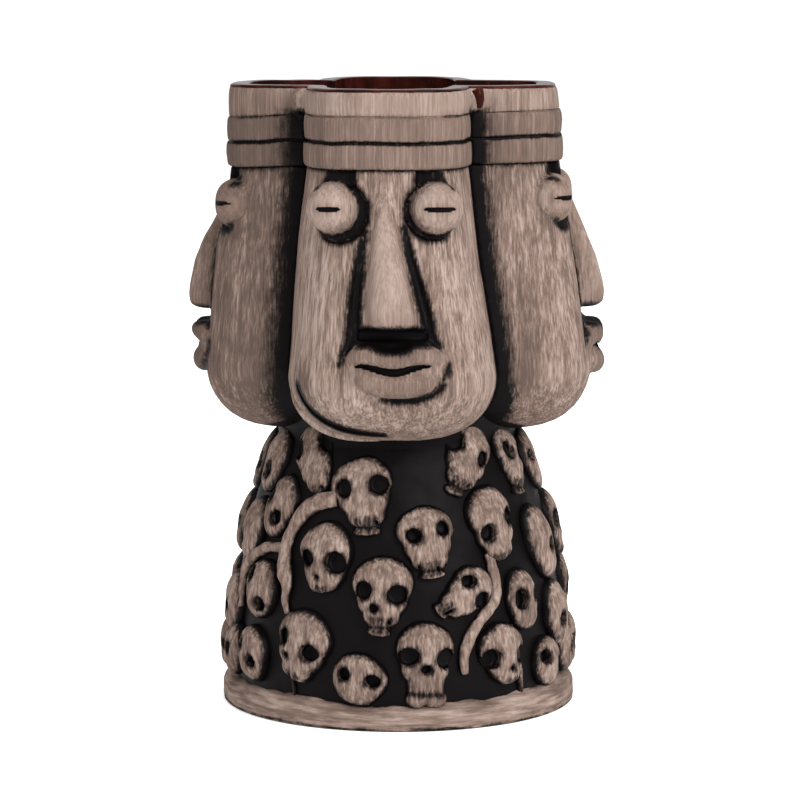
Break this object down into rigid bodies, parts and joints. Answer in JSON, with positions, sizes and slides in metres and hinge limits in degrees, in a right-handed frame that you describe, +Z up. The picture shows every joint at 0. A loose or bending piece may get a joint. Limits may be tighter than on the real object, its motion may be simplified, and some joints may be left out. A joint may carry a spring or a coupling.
{
  "type": "tiki mug",
  "caption": "Tall ceramic tiki mug: carved heads with headbands stand back to back on a flared foot covered in skulls and bones, open at the top.",
  "frame": {"origin": "middle of the foot's underside, where the mug stands", "axes": "+Z up to the rim; one head looks along -Y, the others along +X, +Y and -X"},
  "size_m": [0.1092, 0.1092, 0.1605],
  "materials": {
    "antiqued_clay": "matte",
    "dark_wash": "satin",
    "red_brown_glaze": "gloss"
  },
  "bodies": {
    "root": {"back_arm_bone": "antiqued_clay", "back_head": "antiqued_clay", "back_head_left_eye": "antiqued_clay", "back_head_lips": "antiqued_clay", "back_head_lower_band": "antiqued_clay", "back_head_middle_band": "antiqued_clay", "back_head_nose": "antiqued_clay", "back_head_right_eye": "antiqued_clay", "back_head_top_band": "antiqued_clay", "back_rib_bone": "antiqued_clay", "foot_ring": "antiqued_clay", "foot_wall": "dark_wash", "front_head": "antiqued_clay", "front_head_left_eye": "antiqued_clay", "front_head_lips": "antiqued_clay", "front_head_lower_band": "antiqued_clay", "front_head_middle_band": "antiqued_clay", "front_head_nose": "antiqued_clay", "front_head_right_eye": "antiqued_clay", "front_head_top_band": "antiqued_clay", "interior_glaze": "red_brown_glaze", "left_arm_bone": "antiqued_clay", "left_hand_bone": "antiqued_clay", "left_head": "antiqued_clay", "left_head_left_eye": "antiqued_clay", "left_head_lips": "antiqued_clay", "left_head_lower_band": "antiqued_clay", "left_head_middle_band": "antiqued_clay", "left_head_nose": "antiqued_clay", "left_head_right_eye": "antiqued_clay", "left_head_top_band": "antiqued_clay", "lower_skulls": "antiqued_clay", "middle_skulls": "antiqued_clay", "neck_skulls": "antiqued_clay", "right_head": "antiqued_clay", "right_head_left_eye": "antiqued_clay", "right_head_lips": "antiqued_clay", "right_head_lower_band": "antiqued_clay", "right_head_middle_band": "antiqued_clay", "right_head_nose": "antiqued_clay", "right_head_right_eye": "antiqued_clay", "right_head_top_band": "antiqued_clay", "right_rib_bone": "antiqued_clay", "rim_glaze": "red_brown_glaze", "upper_skulls": "antiqued_clay"}
  },
  "joints": []
}
